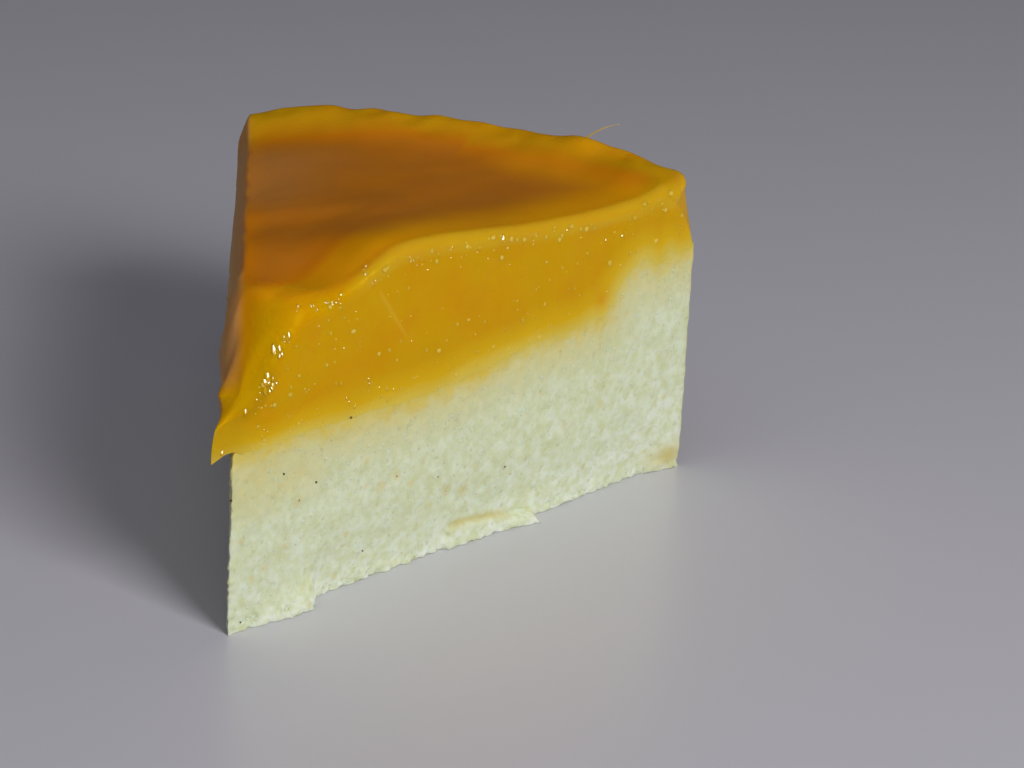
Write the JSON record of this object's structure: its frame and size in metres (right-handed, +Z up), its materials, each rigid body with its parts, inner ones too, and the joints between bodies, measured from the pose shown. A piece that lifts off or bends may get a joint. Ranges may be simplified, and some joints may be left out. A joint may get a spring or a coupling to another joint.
{
  "type": "semolina cake slice",
  "caption": "Wedge of pale semolina cake whose dished top is filled with a thick glossy layer of golden fruit curd; it rests on its flat base.",
  "frame": {"origin": "on the flat base, on the slice's middle line, half way from the tip to where the tin's wall was", "axes": "+Z up out of the base, +Y along the middle line from the tip to the outer wall, +X to the right seen from the tip"},
  "size_m": [0.0771, 0.0926, 0.0505],
  "materials": {
    "crumb": "moist matt crumb, fine grain and pores",
    "curd": "wet gloss, translucent, set curd"
  },
  "bodies": {
    "root": {"semolina_base": "crumb", "curd_topping": "curd"}
  },
  "joints": []
}
